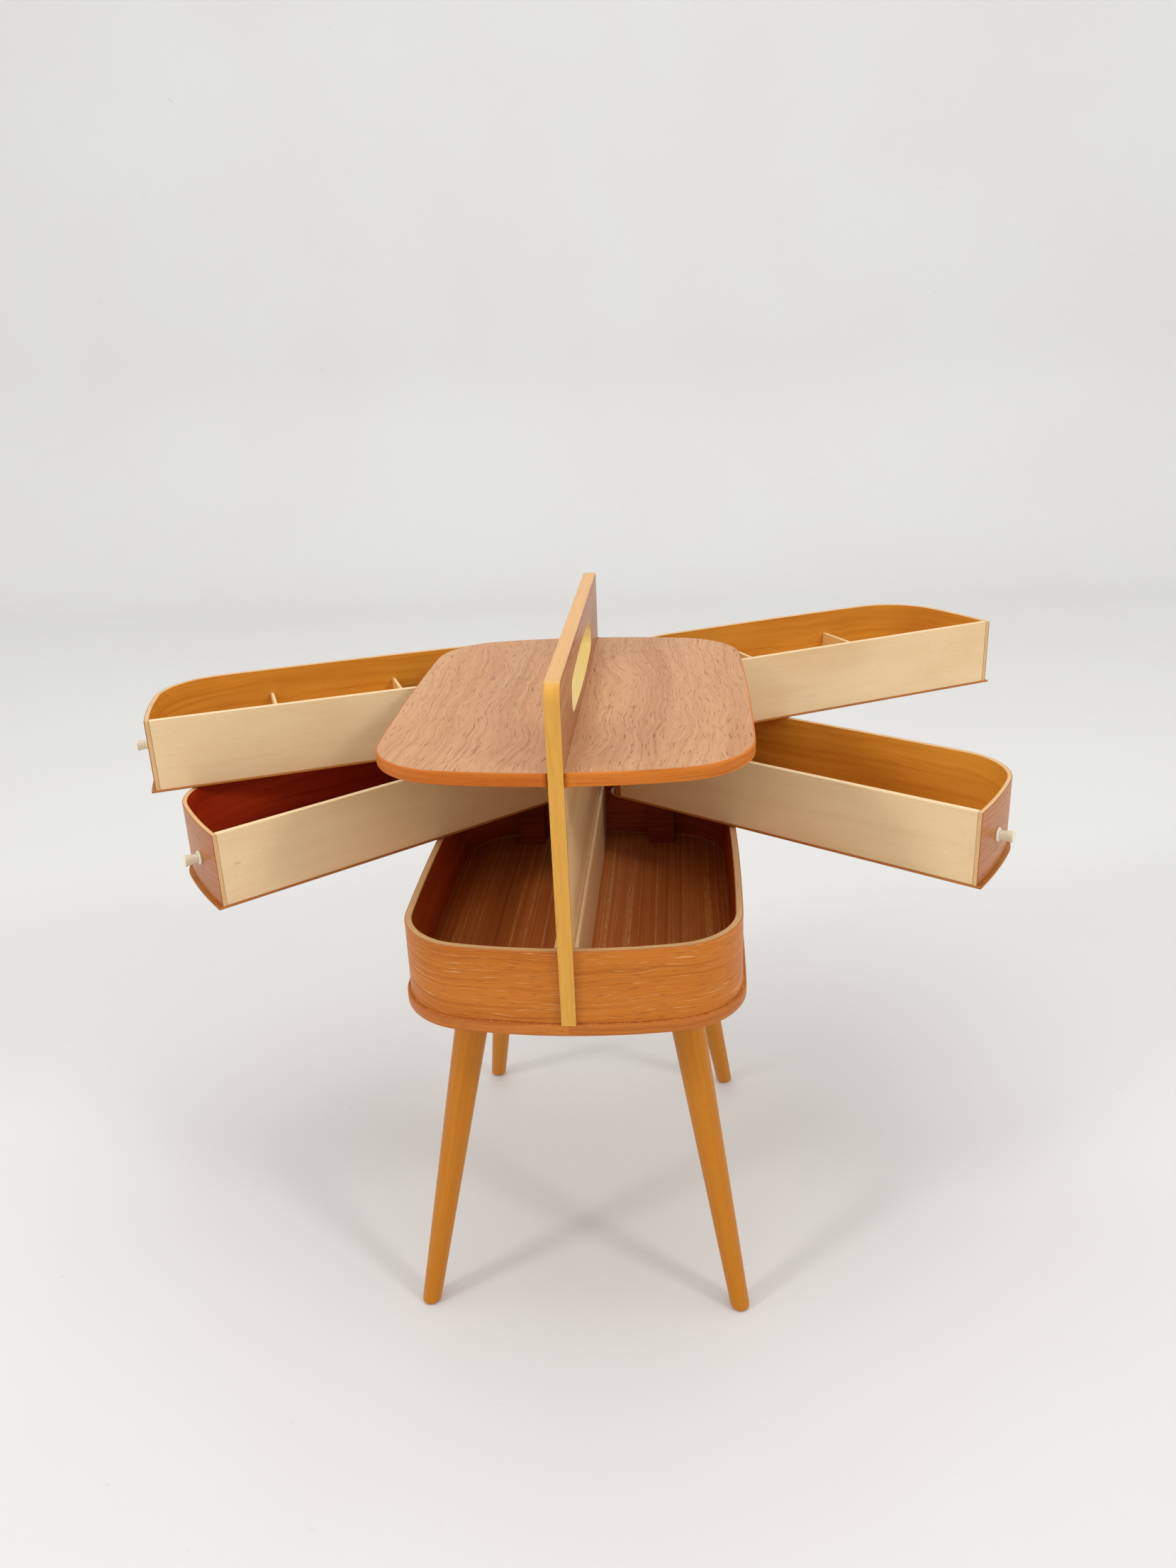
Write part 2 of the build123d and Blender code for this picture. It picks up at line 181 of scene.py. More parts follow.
class BowedOutline:
    """The right half of a rounded rectangle whose sides and ends bow outwards."""

    def __init__(self, half_width, half_depth, corner):
        self.end_radius = bow_radius(half_width - SIDE_BOW, END_BOW)
        self.side_radius = bow_radius(half_depth - END_BOW, SIDE_BOW)
        self.end_centre = Vector((0.0, self.end_radius - half_depth))
        self.side_centre = Vector((half_width - self.side_radius, 0.0))
        self.corner = corner
        apart = self.side_centre - self.end_centre
        reach_end = self.end_radius - corner
        reach_side = self.side_radius - corner
        along = (reach_end**2 - reach_side**2 + apart.length**2) / (2 * apart.length)
        across = math.sqrt(reach_end**2 - along**2)
        unit = apart.normalized()
        normal = Vector((-unit.y, unit.x))
        choices = [self.end_centre + unit * along + normal * across * s for s in (1, -1)]
        self.centre = max(choices, key=lambda p: p.x - p.y)

    def front_y(self, x):
        return self.end_centre.y - math.sqrt(self.end_radius**2 - x**2)

    def side_x(self, y):
        return self.side_centre.x + math.sqrt(self.side_radius**2 - y**2)

    def fillet_centre(self, x, radius):
        """The centre of the small rounded corner at the rear, beside x."""
        fillet_x = x + radius
        reach = math.sqrt((self.end_radius - radius) ** 2 - fillet_x**2)
        return fillet_x, -self.end_centre.y + reach

    def path(self, x, rear_radius=0.0, rear_end=math.pi):
        """Points from (x, front) anticlockwise to (x, rear), the last corner rounded if asked."""
        end, side, centre = self.end_centre, self.side_centre, self.centre
        end_angle = math.atan2(centre.y - end.y, centre.x - end.x)
        side_angle = math.atan2(centre.y - side.y, centre.x - side.x)
        start = math.atan2(self.front_y(x) - end.y, x)
        rear_corner = (centre.x, -centre.y)
        points = arc(end, self.end_radius, start, end_angle, END_STEPS)
        points += arc(centre, self.corner, end_angle, side_angle, SIDE_STEPS)[1:]
        points += arc(side, self.side_radius, side_angle, -side_angle, SIDE_STEPS)[1:]
        points += arc(rear_corner, self.corner, -side_angle, -end_angle, SIDE_STEPS)[1:]
        rear = (0.0, -end.y)
        if not rear_radius:
            return points + arc(rear, self.end_radius, -end_angle, -start, END_STEPS)[1:]
        fillet_x, fillet_y = self.fillet_centre(x, rear_radius)
        touch = math.atan2(fillet_y - rear[1], fillet_x)
        points += arc(rear, self.end_radius, -end_angle, touch, FILLET_STEPS)[1:]
        fillet = arc((fillet_x, fillet_y), rear_radius, touch, rear_end, FILLET_STEPS)
        return points + fillet[1:]


def rounded_rectangle(x0, x1, y0, y1, radius):
    corners = [
        ((x1 - radius, y0 + radius), -0.5),
        ((x1 - radius, y1 - radius), 0.0),
        ((x0 + radius, y1 - radius), 0.5),
        ((x0 + radius, y0 + radius), 1.0),
    ]
    points = []
    for centre, turn in corners:
        points += arc(centre, radius, turn * math.pi, (turn + 0.5) * math.pi, SOFT_STEPS)
    return points


def quarter_turns(count):
    """Angles from 0 to a quarter turn, in equal steps."""
    return [0.5 * math.pi * i / count for i in range(count + 1)]


def stations_of(points):
    """The distance run along a path at each of its points."""
    total = [0.0]
    for a, b in zip(points, points[1:]):
        total.append(total[-1] + (Vector(b) - Vector(a)).length)
    return total


def outward_normals(points, closed):
    """Mitred normals on the right of the path, so outward when it runs anticlockwise."""
    normals = []
    last = len(points) - 1
    for i, point in enumerate(points):
        before = Vector(points[i - 1]) if i or closed else Vector(point)
        after = Vector(points[(i + 1) % len(points)]) if i < last or closed else Vector(point)
        into = (Vector(point) - before).normalized()
        onward = (after - Vector(point)).normalized()
        tangent = (into + onward).normalized()
        stretch = 1.0 / max(0.5, tangent.dot(onward if onward.length else into))
        normals.append(Vector((tangent.y, -tangent.x)) * stretch)
    return normals


# ------------------------------------------------------------------ mesh building
# Each piece's grain starts this many metres further on, so that no two pieces look alike.
GRAIN_SHIFT = 1.37
SEEDS = {"base": 1, "top": 3, "rims": 6, "liners": 9, "slot": 16, "legs": 20, "trays": 30}
SEEDS_PER_TRAY = 7


class Piece:
    """Collects faces, each with a material and a grain coordinate in metres."""

    def __init__(self, name, materials, seed=0):
        self.name = name
        self.materials = [MATERIALS[m] for m in materials]
        self.bm = bmesh.new()
        self.grain = self.bm.loops.layers.uv.new("grain")
        self.shift = GRAIN_SHIFT * seed

    def ring(self, points):
        return [self.bm.verts.new(p) for p in points]

    def face(self, verts, grains, material=0, smooth=True):
        made = self.bm.faces.new(verts)
        made.material_index = material
        made.smooth = smooth
        for loop, (u, v) in zip(made.loops, grains):
            loop[self.grain].uv = (u + self.shift, v)

    def finish(self, node, matrix=None):
        """Makes the object and lets it stand for a CAD node, on that node's body."""
        bmesh.ops.recalc_face_normals(self.bm, faces=self.bm.faces)
        if matrix is not None:
            self.bm.transform(matrix)
            if matrix.determinant() < 0:
                bmesh.ops.reverse_faces(self.bm, faces=self.bm.faces)
        data = bpy.data.meshes.new(self.name)
        self.bm.to_mesh(data)
        self.bm.free()
        for material in self.materials:
            data.materials.append(material)
        obj = bpy.data.objects.new(self.name, data)
        bpy.context.scene.collection.objects.link(obj)
        modifier = obj.modifiers.new("weighted", "WEIGHTED_NORMAL")
        modifier.keep_sharp = True
        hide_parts(node)
        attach(obj, frame["nodes"][node]["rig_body"])


def section_points(depth, height, radius):
    """A rounded rectangle as (inward, upward, face): 0 outside, 1 top, 2 inside, 3 bottom.

    A point's face is the flat one between it and the next point, or None on a rounded corner.
    """
    corners = [
        (radius, radius, 1.0, 3),
        (depth - radius, radius, 1.5, 2),
        (depth - radius, height - radius, 0.0, 1),
        (radius, height - radius, 0.5, 0),
    ]
    points = []
    for x, y, turn, following in corners:
        ring = arc((x, y), radius, turn * math.pi, (turn + 0.5) * math.pi, SOFT_STEPS)
        points += [(px, py, None) for px, py in ring[:-1]]
        points.append((*ring[-1], following))
    return points


def sweep(name, node, path, depth, height, radius, materials, seed, place, closed=False,
          matrix=None):
    """Sweeps a rounded section along a path. materials are (outside, edges, inside).

    place turns (path point, inward direction, inward distance, upward distance) into a vertex.
    """
    piece = Piece(name, materials, seed)
    section = section_points(depth, height, radius)
    rings = [
        piece.ring([place(p, -n, inward, up) for inward, up, _ in section])
        for p, n in zip(path, outward_normals(path, closed))
    ]
    stations = stations_of(path + path[:1])
    slots = {0: 0, 1: 1, 2: 2, 3: 1, None: 1}
    for i in range(len(rings) if closed else len(rings) - 1):
        a, b = rings[i], rings[(i + 1) % len(rings)]
        ua, ub = stations[i], stations[i + 1]
        for k, (inward, up, face) in enumerate(section):
            n = (k + 1) % len(section)
            va, vb = (up, section[n][1]) if face in (0, 2) else (inward, section[n][0])
            grains = ((ua, va), (ua, vb), (ub, vb), (ub, va))
            piece.face((a[k], a[n], b[n], b[k]), grains, slots[face])
    if not closed:
        for ring in (rings[0], rings[-1]):
            piece.face(ring, [(up, inward) for inward, up, _ in section], 1, smooth=False)
    piece.finish(node, matrix)


def upright_place(z):
    """Places a swept section on a plan path, standing at height z."""
    return lambda p, inward, distance, up: (
        p[0] + inward.x * distance,
        p[1] + inward.y * distance,
        z + up,
    )


def plate(name, node, loop, low, high, radius, materials, seed, matrix=None, along_x=False,
          cut_x=None):
    """A flat board with softened edges. materials are (top, edge, underside).

    Where the outline lies on cut_x it meets the centre board, so its edge there stays sharp.
    """
    piece = Piece(name, materials, seed)
    normals = outward_normals(loop, True)
    stations = stations_of(loop + loop[:1])
    cut = [cut_x is not None and p[0] < cut_x + NEAR for p in loop]
    share = [CUT_EDGE_SHARE if here else 1.0 for here in cut]
    turns = quarter_turns(PLATE_STEPS)
    rounding = [(radius * (1 - math.sin(a)), radius * (1 - math.cos(a))) for a in turns]
    levels = [(inset, rise, low, 1) for inset, rise in rounding]
    levels += [(inset, rise, high, -1) for inset, rise in reversed(rounding)]
    rings = [
        piece.ring([
            (p[0] - n.x * inset * k, p[1] - n.y * inset * k, edge + way * rise * k)
            for p, n, k in zip(loop, normals, share)
        ])
        for inset, rise, edge, way in levels
    ]
    heights = [edge + way * rise for _, rise, edge, way in levels]
    for j in range(len(rings) - 1):
        za, zb = heights[j], heights[j + 1]
        for i in range(len(loop)):
            n = (i + 1) % len(loop)
            ua, ub = stations[i], stations[i + 1]
            quad = (rings[j][i], rings[j][n], rings[j + 1][n], rings[j + 1][i])
            piece.face(quad, ((ua, za), (ub, za), (ub, zb), (ua, zb)), 1)
    plan = [(p[0], p[1]) if along_x else (p[1], p[0]) for p in loop]
    piece.face(rings[-1], plan, 0)
    piece.face(rings[0], plan, 2)
    piece.finish(node, matrix)


def lathe(name, node, profile, material, matrix):
    """Turns (radius, height) points about Z. A radius of 0 closes an end."""
    piece = Piece(name, [material])
    count = LATHE_SPOKES
    rings = []
    for radius, z in profile:
        circle = arc((0, 0), radius, 0, 2 * math.pi, count)[:-1] if radius else [(0, 0)]
        rings.append(piece.ring([(x, y, z) for x, y in circle]))
    for a, b, (_, za), (_, zb) in zip(rings, rings[1:], profile, profile[1:]):
        for i in range(count):
            n = (i + 1) % count
            corners = [a[i % len(a)], b[i % len(b)], b[n % len(b)], a[n % len(a)]]
            grains = [(za, i * MM), (zb, i * MM), (zb, n * MM), (za, n * MM)]
            kept = [k for k in range(4) if corners[k] not in corners[:k]]
            piece.face([corners[k] for k in kept], [grains[k] for k in kept])
    piece.finish(node, matrix)


# ------------------------------------------------------------------ materials
def linear(hex_colour):
    """An sRGB colour in hexadecimal as linear RGBA, by the sRGB curve."""
    values = [int(hex_colour[i:i + 2], 16) / 255 for i in (0, 2, 4)]
    return (
        *(v / 12.92 if v <= 0.04045 else ((v + 0.055) / 1.055) ** 2.4 for v in values),
        1.0,
    )


# The sockets of a mix node that carry colours.
MIX_COLOUR_A, MIX_COLOUR_B, MIX_COLOUR_OUT = 6, 7, 2
LACQUER_SPECULAR = 0.2
COAT_ROUGHNESS = 0.25
# Colour of the glints: a painted highlight, pale streaks mixed into the base colour.
GLINT = "F0C08C"

# Where a noise begins to show as each feature of the wood (and as the glints, a painted
# highlight), and where it shows fully.
BAND_LIMITS = (0.36, 0.64)
STREAK_LIMITS = (0.5, 0.78)
FINE_LIMITS = (0.5, 0.8)
PORE_LIMITS = (0.60, 0.70)
CRACK_LIMITS = (0.70, 0.74)
CLOUD_LIMITS = (0.4, 0.65)
GLINT_LIMITS = (0.60, 0.72)
KNOT_LIMITS = (0.05, 0.11)
KNOT_CHOICE_LIMITS = (0.56, 0.62)
GLUE_LIMITS = (0.1 * MM, 0.32 * MM)


class Shader:
    """Short names for the nodes that the materials here are made of.

    A noise's scale is in waves per metre: along the grain, across it, and through it.
    """

    def __init__(self, name):
        self.material = bpy.data.materials.new(name)
        self.material.use_nodes = True
        self.tree = self.material.node_tree
        self.tree.nodes.clear()
        self.bsdf = self.tree.nodes.new("ShaderNodeBsdfPrincipled")
        output = self.tree.nodes.new("ShaderNodeOutputMaterial")
        self.tree.links.new(self.bsdf.outputs["BSDF"], output.inputs["Surface"])

    def put(self, socket, value):
        """Links a socket to another one, or gives it a fixed value."""
        if isinstance(value, bpy.types.NodeSocket):
            self.tree.links.new(value, socket)
        else:
            socket.default_value = value

    def grain(self):
        """The grain coordinate of the pieces built here, in metres."""
        node = self.tree.nodes.new("ShaderNodeUVMap")
        node.uv_map = "grain"
        return node.outputs["UV"]

    def place(self):
        """The place in the object's own frame, for meshes without a grain coordinate."""
        return self.tree.nodes.new("ShaderNodeTexCoord").outputs["Object"]

    def split(self, vector):
        node = self.tree.nodes.new("ShaderNodeSeparateXYZ")
        self.put(node.inputs[0], vector)
        return node.outputs

    def combine(self, x, y, z=0.0):
        node = self.tree.nodes.new("ShaderNodeCombineXYZ")
        for socket, value in zip(node.inputs, (x, y, z)):
            self.put(socket, value)
        return node.outputs[0]

    def stretched(self, vector, scale):
        node = self.tree.nodes.new("ShaderNodeMapping")
        self.put(node.inputs["Vector"], vector)
        node.inputs["Scale"].default_value = scale
        return node.outputs["Vector"]

    def noise(self, vector, scale, detail=4.0, roughness=0.55):
        node = self.tree.nodes.new("ShaderNodeTexNoise")
        self.put(node.inputs["Vector"], self.stretched(vector, scale))
        node.inputs["Scale"].default_value = 1.0
        node.inputs["Detail"].default_value = detail
        node.inputs["Roughness"].default_value = roughness
        return node.outputs["Fac"]

    def dots(self, vector, scale):
        """Distance to the nearest of a scatter of points, in cells."""
        node = self.tree.nodes.new("ShaderNodeTexVoronoi")
        self.put(node.inputs["Vector"], self.stretched(vector, scale))
        node.inputs["Scale"].default_value = 1.0
        return node.outputs["Distance"]

    def math(self, kind, a, b=0.0):
        node = self.tree.nodes.new("ShaderNodeMath")
        node.operation = kind
        self.put(node.inputs[0], a)
        self.put(node.inputs[1], b)
        return node.outputs[0]

    def steps(self, value, low, high):
        """0 below low, 1 above high, smooth between."""
        node = self.tree.nodes.new("ShaderNodeMapRange")
        node.interpolation_type = "SMOOTHSTEP"
        self.put(node.inputs["Value"], value)
        node.inputs["From Min"].default_value = low
        node.inputs["From Max"].default_value = high
        return node.outputs["Result"]

    def share(self, value, amount):
        return self.math("MULTIPLY", value, amount)

    def rest(self, value):
        """What is left of 1."""
        return self.math("SUBTRACT", 1.0, value)

    def mix(self, factor, a, b):
        node = self.tree.nodes.new("ShaderNodeMix")
        node.data_type = "RGBA"
        self.put(node.inputs[0], factor)
        self.put(node.inputs[MIX_COLOUR_A], linear(a) if isinstance(a, str) else a)
        self.put(node.inputs[MIX_COLOUR_B], linear(b) if isinstance(b, str) else b)
        return node.outputs[MIX_COLOUR_OUT]

    def colour(self, value):
        self.tree.links.new(value, self.bsdf.inputs["Base Color"])

    def roughness(self, value, low, high):
        node = self.tree.nodes.new("ShaderNodeMapRange")
        self.put(node.inputs["Value"], value)
        node.inputs["To Min"].default_value = low
        node.inputs["To Max"].default_value = high
        self.tree.links.new(node.outputs["Result"], self.bsdf.inputs["Roughness"])

    def bump(self, height, distance):
        node = self.tree.nodes.new("ShaderNodeBump")
        self.put(node.inputs["Height"], height)
        node.inputs["Distance"].default_value = distance
        node.inputs["Strength"].default_value = 1.0
        self.tree.links.new(node.outputs["Normal"], self.bsdf.inputs["Normal"])

    def lacquer(self, coat, coat_roughness=COAT_ROUGHNESS):
        self.bsdf.inputs["Specular IOR Level"].default_value = LACQUER_SPECULAR
        self.bsdf.inputs["Coat Weight"].default_value = coat
        self.bsdf.inputs["Coat Roughness"].default_value = coat_roughness

    def wandering(self, uv, wave, along=5.0, across=12.0):
        """The grain coordinate with its lines pushed sideways, so that they wander."""
        u, v, _ = self.split(uv)
        drift = self.math("SUBTRACT", self.noise(uv, (along, across, 1.0), 3.0), 0.5)
        return self.combine(u, self.math("ADD", v, self.share(drift, wave)))


def wood(name, light, mid, dark, figure=0.5, wave=0.04, pores=0.4, pore_size=1.0, cracks=0.0,
         knots=0.0, stripe=280.0, gloss=(0.34, 0.52), coat=0.06, relief=0.1, drift=(5.0, 12.0),
         glints=0.0, clouds=0.0):
    """Lacquered wood. The grain runs along the first grain coordinate."""
    s = Shader(name)
    uv = s.grain()
    flow = s.wandering(uv, wave, *drift)
    broad = s.noise(flow, (1.6, 22.0, 1.0), 3.0)
    streaks = s.noise(flow, (3.5, stripe, 1.0), 6.0, 0.62)
    fine = s.noise(flow, (14.0, stripe * 4.5, 1.0), 3.0)
    pore = s.steps(s.noise(flow, (90.0 / pore_size, 1500.0 / pore_size, 1.0), 2.0), *PORE_LIMITS)
    bands = s.steps(s.math("ADD", s.share(broad, 0.5), s.share(streaks, 0.5)), *BAND_LIMITS)
    colour = s.mix(bands, light, mid)
    colour = s.mix(s.share(s.steps(streaks, *STREAK_LIMITS), figure), colour, dark)
    colour = s.mix(s.share(s.steps(fine, *FINE_LIMITS), figure * 0.5), colour, dark)
    colour = s.mix(s.share(pore, pores), colour, dark)
    height = s.math("SUBTRACT", s.share(streaks, 0.35), s.share(pore, 0.9))
    if cracks:
        line = s.steps(s.noise(flow, (16.0, 520.0, 1.0), 1.0), *CRACK_LIMITS)
        colour = s.mix(s.share(line, cracks), colour, dark)
        height = s.math("SUBTRACT", height, line)
    if clouds:
        cloud = s.steps(s.noise(uv, (4.0, 11.0, 1.0), 2.0), *CLOUD_LIMITS)
        colour = s.mix(s.share(cloud, clouds), colour, dark)
    # Painted highlight: pale glint streaks mixed into the base colour.
    if glints:
        glint = s.steps(s.noise(flow, (30.0, 700.0, 1.0), 2.0), *GLINT_LIMITS)
        colour = s.mix(s.share(glint, glints), colour, GLINT)
    if knots:
        spot = s.rest(s.steps(s.dots(uv, (22.0, 70.0, 1.0)), *KNOT_LIMITS))
        chosen = s.steps(s.noise(uv, (9.0, 40.0, 1.0), 1.0), *KNOT_CHOICE_LIMITS)
        colour = s.mix(s.share(s.math("MULTIPLY", spot, chosen), knots), colour, dark)
    s.colour(colour)
    s.roughness(streaks, *gloss)
    s.lacquer(coat)
    s.bump(height, relief * MM)
    return s.material


def striped_floor(name, light, mid, dark, pale):
    """Straight-grained veneer with thin pale lines between the brown ones."""
    s = Shader(name)
    uv = s.grain()
    flow = s.wandering(uv, 0.01, 2.0, 8.0)
    broad = s.noise(flow, (0.8, 14.0, 1.0), 2.0)
    lines = s.noise(flow, (1.2, 340.0, 1.0), 3.0)
    dashes = s.noise(flow, (60.0, 900.0, 1.0), 3.0)
    colour = s.mix(s.steps(broad, 0.35, 0.65), light, mid)
    colour = s.mix(s.share(s.steps(lines, 0.48, 0.72), 0.4), colour, dark)
    between = s.rest(s.steps(lines, 0.36, 0.46))
    pale_line = s.math("MULTIPLY", between, s.steps(dashes, 0.35, 0.6))
    colour = s.mix(s.share(pale_line, 0.7), colour, pale)
    s.colour(colour)
    s.roughness(lines, 0.4, 0.6)
    s.lacquer(0.03, 0.35)
    s.bump(s.math("ADD", lines, s.share(dashes, 0.4)), 0.12 * MM)
    return s.material


def ply_edge(name, face, pale, core, line, thickness, veneer):
    """Sawn plywood: a veneer and its glue line at each face, and pale plies between."""
    s = Shader(name)
    uv = s.grain()
    _, across, _ = s.split(uv)
    wobble = s.share(s.math("SUBTRACT", s.noise(uv, (40.0, 40.0, 1.0), 2.0), 0.5), 0.3 * MM)
    depth = s.math("ADD", across, wobble)
    fibre = s.noise(uv, (50.0, 1400.0, 1.0), 4.0)
    colour = s.mix(s.steps(fibre, 0.35, 0.7), pale, core)
    for at, strength in ((veneer, 0.75), (0.5 * thickness, 0.25), (thickness - veneer, 0.35)):
        near = s.math("ABSOLUTE", s.math("SUBTRACT", depth, at))
        seam = s.rest(s.steps(near, *GLUE_LIMITS))
        colour = s.mix(s.share(seam, strength), colour, line)
    s.colour(s.mix(s.steps(depth, veneer - 0.2 * MM, veneer), face, colour))
    s.roughness(fibre, 0.42, 0.6)
    s.bump(fibre, 0.1 * MM)
    return s.material


def two_tone_board(name, upper, lower, height):
    """The centre board's veneer: teak above the given height, pale ply below it."""
    s = Shader(name)
    uv = s.grain()
    _, z, _ = s.split(uv)
    flow = s.wandering(uv, 0.06)
    streaks = s.noise(flow, (3.5, 240.0, 1.0), 6.0, 0.62)
    broad = s.noise(flow, (1.6, 18.0, 1.0), 3.0)
    pore = s.steps(s.noise(flow, (90.0, 1400.0, 1.0), 2.0), *PORE_LIMITS)
    colours = []
    for light, mid, dark in (upper, lower):
        colour = s.mix(s.steps(broad, *BAND_LIMITS), light, mid)
        colours.append(s.mix(s.share(s.steps(streaks, 0.48, 0.78), 0.6), colour, dark))
    teak = s.mix(s.share(pore, 0.6), colours[0], upper[2])
    s.colour(s.mix(s.steps(z, height - 0.2 * MM, height + 0.2 * MM), colours[1], teak))
    s.roughness(streaks, 0.3, 0.48)
    s.lacquer(0.12)
    s.bump(s.math("SUBTRACT", s.share(streaks, 0.3), s.share(pore, 0.8)), 0.1 * MM)
    return s.material


def steel():
    s = Shader("steel")
    scratches = s.noise(s.place(), (900.0, 900.0, 60.0), 3.0)
    s.colour(s.mix(scratches, "8E8C88", "B9B7B2"))
    s.bsdf.inputs["Metallic"].default_value = 1.0
    s.roughness(scratches, 0.25, 0.5)
    s.bump(scratches, 0.03 * MM)
    return s.material


def ivory():
    s = Shader("ivory_plastic")
    mottle = s.noise(s.place(), (140.0, 140.0, 140.0), 4.0)
    s.colour(s.mix(mottle, "F2ECD6", "E0D4B2"))
    s.roughness(mottle, 0.22, 0.36)
    s.bsdf.inputs["Subsurface Weight"].default_value = 0.15
    s.bsdf.inputs["Subsurface Scale"].default_value = 2.0 * MM
    s.bump(mottle, 0.04 * MM)
    return s.material


def dowel_wood():
    s = Shader("dowel_wood")
    fibre = s.noise(s.place(), (30.0, 700.0, 700.0), 4.0)
    s.colour(s.mix(fibre, "D9B07A", "B98A54"))
    s.roughness(fibre, 0.45, 0.65)
    s.bump(fibre, 0.1 * MM)
    return s.material


def pale_floor():
    s = Shader("pale_floor")
    place = s.place()
    cloud = s.noise(place, (1.3, 1.3, 1.3), 5.0)
    scuff = s.steps(s.noise(place, (26.0, 34.0, 30.0), 6.0, 0.72), 0.66, 0.74)
    colour = s.mix(s.steps(cloud, 0.3, 0.7), "E0DFDC", "DEDCD9")
    s.colour(s.mix(s.share(scuff, 0.3), colour, "B4AEA8"))
    s.roughness(cloud, 0.5, 0.6)
    s.bump(scuff, 0.2 * MM)
    return s.material


TEAK_ABOVE = ("BD8256", "A66A3E", "6E3F24")
PLY_BELOW = ("EABF8C", "DEB07A", "BA8852")
# Each wood has its light, middle and dark colours, and how its look differs from the usual.
WOODS = {
    "teak_top": (("CB9A6E", "BE875B", "7A4426"), {
        "figure": 0.28, "wave": 0.08, "pores": 0.75, "pore_size": 2.0, "cracks": 0.12,
        "gloss": (0.42, 0.58), "coat": 0.08, "relief": 0.25, "stripe": 300.0,
        "drift": (4.0, 6.0), "glints": 0.25,
    }),
    "top_edge": (("D27820", "BC6012", "7C3408"), {
        "figure": 0.4, "wave": 0.02, "pores": 0.3,
    }),
    "rim_outside": (("C87420", "B26010", "74320A"), {
        "figure": 0.4, "wave": 0.025, "pores": 0.55, "pore_size": 1.6, "cracks": 0.25,
        "stripe": 380.0, "glints": 0.45,
    }),
    "tray_outside": (("BC7030", "A45C20", "6A300C"), {
        "figure": 0.4, "wave": 0.03, "pores": 0.5, "pore_size": 1.6, "cracks": 0.35,
        "stripe": 380.0, "gloss": (0.28, 0.42), "coat": 0.08, "glints": 0.2,
    }),
    "amber_inside": (("E8A23A", "D88A28", "B06616"), {
        "figure": 0.22, "wave": 0.03, "pores": 0.25, "pore_size": 2.0, "stripe": 150.0,
        "gloss": (0.28, 0.4), "coat": 0.15, "clouds": 0.3,
    }),
    # The lower left tray's inside: its amber wood painted darker and redder, as painted shade
    # from the tray above.
    "painted_shade_inside": (("BE401A", "A22A10", "661208"), {
        "figure": 0.25, "wave": 0.05, "pores": 0.2, "stripe": 120.0, "gloss": (0.28, 0.4),
        "coat": 0.15,
    }),
    # The rims' inner faces: the rim's teak painted darker and redder, as painted shade inside the
    # base.
    "painted_shade_rim_inside": (("B4501C", "983A12", "5A1808"), {
        "figure": 0.35, "pores": 0.3,
    }),
    "base_edge": (("C4752A", "AC5D1B", "7A360E"), {
        "figure": 0.4, "wave": 0.02, "pores": 0.3,
    }),
    "blonde_ply": (("EED0A2", "EBCB9C", "D8B07C"), {
        "figure": 0.12, "wave": 0.03, "pores": 0.06, "knots": 0.6, "stripe": 90.0,
        "gloss": (0.3, 0.45), "coat": 0.1, "clouds": 0.45,
    }),
    "divider_side": (("ECC680", "E2B868", "C09048"), {
        "figure": 0.15, "wave": 0.03, "pores": 0.1,
    }),
    "blonde_edge": (("F3D9AE", "EACB98", "CF9E66"), {
        "figure": 0.25, "wave": 0.02, "pores": 0.1,
    }),
    "liner_side": (("E0B482", "D2A26E", "AC7A48"), {
        "figure": 0.3, "wave": 0.03, "pores": 0.2,
    }),
    "tray_floor": (("BE7A30", "A6611E", "6E350F"), {
        "figure": 0.35, "pores": 0.2,
    }),
    "tray_bottom_edge": (("BC7838", "A6642C", "7A4018"), {
        "figure": 0.4, "wave": 0.02, "pores": 0.2,
    }),
    "front_strip": (("DCA245", "CE9136", "A0641A"), {
        "figure": 0.3, "wave": 0.03, "pores": 0.15, "knots": 0.8, "stripe": 200.0,
        "gloss": (0.28, 0.42), "coat": 0.1,
    }),
    "top_strip": (("DDA96A", "D29B5B", "AE7438"), {
        "figure": 0.2, "wave": 0.03, "pores": 0.12, "knots": 0.4, "stripe": 160.0,
        "gloss": (0.3, 0.45), "coat": 0.1,
    }),
    "pale_lining": (("EBD288", "E0C274", "C29C4E"), {
        "figure": 0.25, "wave": 0.02, "pores": 0.1,
    }),
    "leg_wood": (("C47A14", "BA6E0C", "945006"), {
        "figure": 0.18, "wave": 0.02, "pores": 0.35, "pore_size": 0.8, "knots": 0.7,
        "stripe": 240.0, "gloss": (0.3, 0.42), "coat": 0.1,
    }),
    # The pivot posts and blocks: dark red-brown wood, painted darker and redder still as the
    # shade at the rear of the base.
    "dark_block": (("943C20", "782A14", "45160A"), {
        "figure": 0.4, "wave": 0.03, "pores": 0.3,
    }),
    "underside": (("B98A58", "A67644", "7C5028"), {
        "figure": 0.35, "pores": 0.3, "pore_size": 1.2,
    }),
}
MATERIALS = {name: wood(name, *colours, **look) for name, (colours, look) in WOODS.items()}
MATERIALS |= {
    "base_floor": striped_floor("base_floor", "C87838", "B4642A", "7E3814", "E0AC68"),
    "rim_edge": ply_edge("rim_edge", "B8681E", "DDB27C", "C99A62", "8A5226", RIM_THICKNESS,
                         RIM_VENEER),
    "wall_edge": ply_edge("wall_edge", "A85A20", "E6BE86", "D4A468", "7A3F18", BENT_WALL,
                          WALL_VENEER),
    "board_face": two_tone_board("board_face", TEAK_ABOVE, PLY_BELOW, TOP_HIGH.z - 1.0 * MM),
    "steel": steel(),
    "ivory_plastic": ivory(),
    "dowel_wood": dowel_wood(),
}


def mirrored(side):
    """From a right-hand piece to the same piece on the given side."""
    return Matrix.Scale(SIDES[side], 4, (1, 0, 0))


